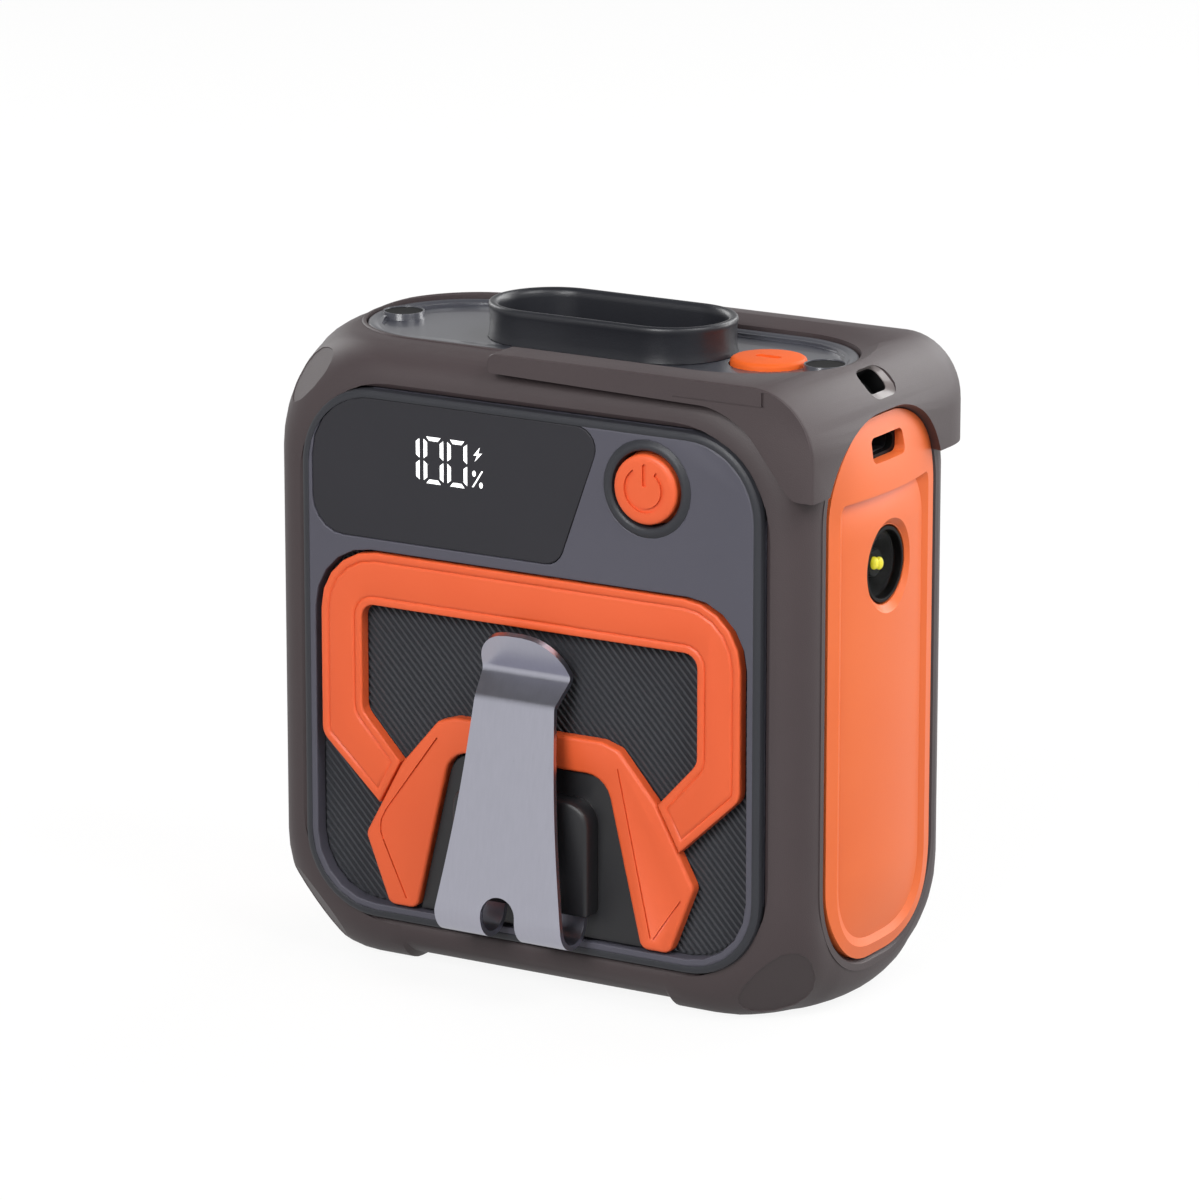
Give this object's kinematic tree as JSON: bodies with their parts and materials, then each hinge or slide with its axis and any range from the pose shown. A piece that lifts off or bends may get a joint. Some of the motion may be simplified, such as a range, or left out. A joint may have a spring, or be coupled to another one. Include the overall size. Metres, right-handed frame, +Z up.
{
  "type": "portable waist fan",
  "caption": "Compact square waist fan with an upward air outlet, a sprung steel belt clip, a display window, push buttons and a torch in its side.",
  "frame": {"origin": "middle of the base: centre of the bounding box on the plane of the feet", "axes": "+X to the right seen from the front, +Y from the front (clip side) to the back (air intake), +Z up out of the air outlet"},
  "size_m": [0.1043, 0.0632, 0.1091],
  "materials": {
    "taupe_rubber": "matte, slightly soft",
    "slate_plastic": "satin",
    "orange_plastic": "satin",
    "black_plastic": "fine texture",
    "smoked_window": "smooth, smoked",
    "clear_lens": "clear",
    "satin_steel": "satin",
    "copper_winding": "lacquered wire",
    "green_board": "solder mask",
    "battery_wrap": "shrink film",
    "led_yellow": "phosphor"
  },
  "bodies": {
    "case": {"bumper": "taupe_rubber", "front_housing": "slate_plastic", "rear_housing": "slate_plastic", "power_bezel": "slate_plastic", "top_deck": "slate_plastic", "front_trim_frame": "orange_plastic", "front_trim_arch": "orange_plastic", "side_panel_right": "orange_plastic", "side_panel_left": "orange_plastic", "front_grille": "black_plastic", "clip_mount": "black_plastic", "outlet_nozzle": "black_plastic", "intake_grille": "black_plastic", "display_module": "black_plastic", "power_switch": "black_plastic", "light_switch": "black_plastic", "torch_reflector": "black_plastic", "scroll_housing": "black_plastic", "scroll_cover": "black_plastic", "motor_base": "black_plastic", "display_window": "smoked_window", "torch_lens": "clear_lens", "torch_led": "led_yellow", "clip_leg": "satin_steel", "usb_port": "satin_steel", "bearing_front": "satin_steel", "bearing_rear": "satin_steel", "rear_screw_1": "satin_steel", "rear_screw_2": "satin_steel", "rear_screw_3": "satin_steel", "rear_screw_4": "satin_steel", "motor_stator": "copper_winding", "main_board": "green_board", "side_board": "green_board", "light_board": "green_board", "battery_pack": "battery_wrap"},
    "power_button": {"power_button": "orange_plastic"},
    "light_button": {"light_button": "orange_plastic"},
    "blower_wheel": {"impeller": "black_plastic", "rotor_cup": "satin_steel", "motor_shaft": "satin_steel"},
    "clip_tongue": {"clip_tongue": "satin_steel"}
  },
  "joints": [
    {"name": "power_button_press", "type": "slide", "parent": "case", "child": "power_button", "axis": [0, 1, 0], "range_m": [0, 0.0009], "stiffness_N_per_m": 1200, "springref_m": -0.0004},
    {"name": "light_button_press", "type": "slide", "parent": "case", "child": "light_button", "axis": [0, 0, -1], "range_m": [0, 0.0009], "stiffness_N_per_m": 1200, "springref_m": -0.0004},
    {"name": "blower_spin", "type": "hinge", "parent": "case", "child": "blower_wheel", "pos_m": [0, -0.00045, 0.047], "axis": [0, 1, 0], "continuous": true},
    {"name": "clip_spring", "type": "hinge", "parent": "case", "child": "clip_tongue", "pos_m": [0, -0.02685, 0.0149], "axis": [1, 0, 0], "range_deg": [0, 10], "stiffness_Nm_per_rad": 1.5}
  ]
}
